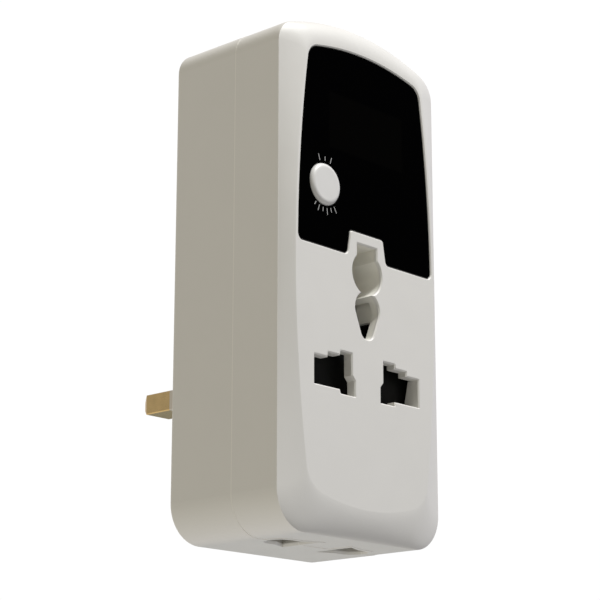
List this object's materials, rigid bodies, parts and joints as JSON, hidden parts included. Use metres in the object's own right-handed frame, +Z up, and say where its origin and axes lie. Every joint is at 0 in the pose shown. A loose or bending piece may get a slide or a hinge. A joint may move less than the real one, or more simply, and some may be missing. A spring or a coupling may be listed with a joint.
{
  "type": "plug-through socket monitor",
  "caption": "Wall-socket adapter with rectangular plug pins behind, and on its front a universal socket, a smoked display window and a push button.",
  "frame": {"origin": "on the mating back face, midway between the centres of the line and neutral pins", "axes": "+X to the right of someone facing the socket, +Y along the pins into the wall, +Z up"},
  "size_m": [0.0456, 0.0527, 0.101],
  "materials": {
    "casing": "fine satin moulded plastic, warm white",
    "lens": "polished smoked black",
    "button": "satin white",
    "black_plastic": "plain black moulding",
    "sleeve": "satin insulating sleeve",
    "brass": "bright machined",
    "screw_steel": "zinc plated",
    "spring_steel": "drawn wire",
    "circuit_board": "green solder mask",
    "header": "black header with pins",
    "relay_case": "smooth dark case",
    "fuse_glass": "clear tube with plated caps",
    "film_capacitor": "yellow box",
    "can": "sleeved aluminium can",
    "varistor": "dipped epoxy",
    "resistor": "lacquered body with tinned leads",
    "display_body": "black face",
    "display_segments": "unlit diffuser",
    "tape": "double-sided film"
  },
  "bodies": {
    "case": {"front_shell": "casing", "rear_shell": "casing", "case_screws": "screw_steel", "display_lens": "lens", "lens_tape": "tape", "switch_body": "black_plastic", "led_display": "display_body", "led_segments": "display_segments", "display_pcb": "circuit_board", "display_screws": "screw_steel", "microcontroller": "black_plastic", "board_header": "header", "power_pcb": "circuit_board", "relay": "relay_case", "fuse": "fuse_glass", "fuse_clips": "brass", "film_capacitor": "film_capacitor", "electrolytic_capacitor": "can", "varistor": "varistor", "rectifier": "black_plastic", "resistors": "resistor", "shutter_spring": "spring_steel", "contact_carrier": "black_plastic", "line_contact": "brass", "neutral_contact": "brass", "earth_contact": "brass", "line_lead": "brass", "line_pin": "brass", "neutral_pin": "brass", "earth_pin": "brass", "line_pin_sleeve": "sleeve", "neutral_pin_sleeve": "sleeve", "pin_retainer": "black_plastic", "retainer_screws": "screw_steel"},
    "button": {"set_button": "button"},
    "plunger": {"switch_plunger": "black_plastic"},
    "shutter": {"shutter": "black_plastic"}
  },
  "joints": [
    {"name": "button_press", "type": "slide", "parent": "case", "child": "button", "axis": [0, 1, 0], "range_m": [0, 0.0005], "stiffness_N_per_m": 1200, "springref_m": -0.0005},
    {"name": "plunger_press", "type": "slide", "parent": "case", "child": "plunger", "axis": [0, 1, 0], "range_m": [0, 0.0005]},
    {"name": "shutter_slide", "type": "slide", "parent": "case", "child": "shutter", "axis": [0, 0, -1], "range_m": [0, 0.0096], "stiffness_N_per_m": 60, "springref_m": -0.004, "deforming": ["shutter_spring"]}
  ],
  "couplings": [
    {"joint": "plunger_press", "follows": "button_press", "ratio": 1}
  ]
}
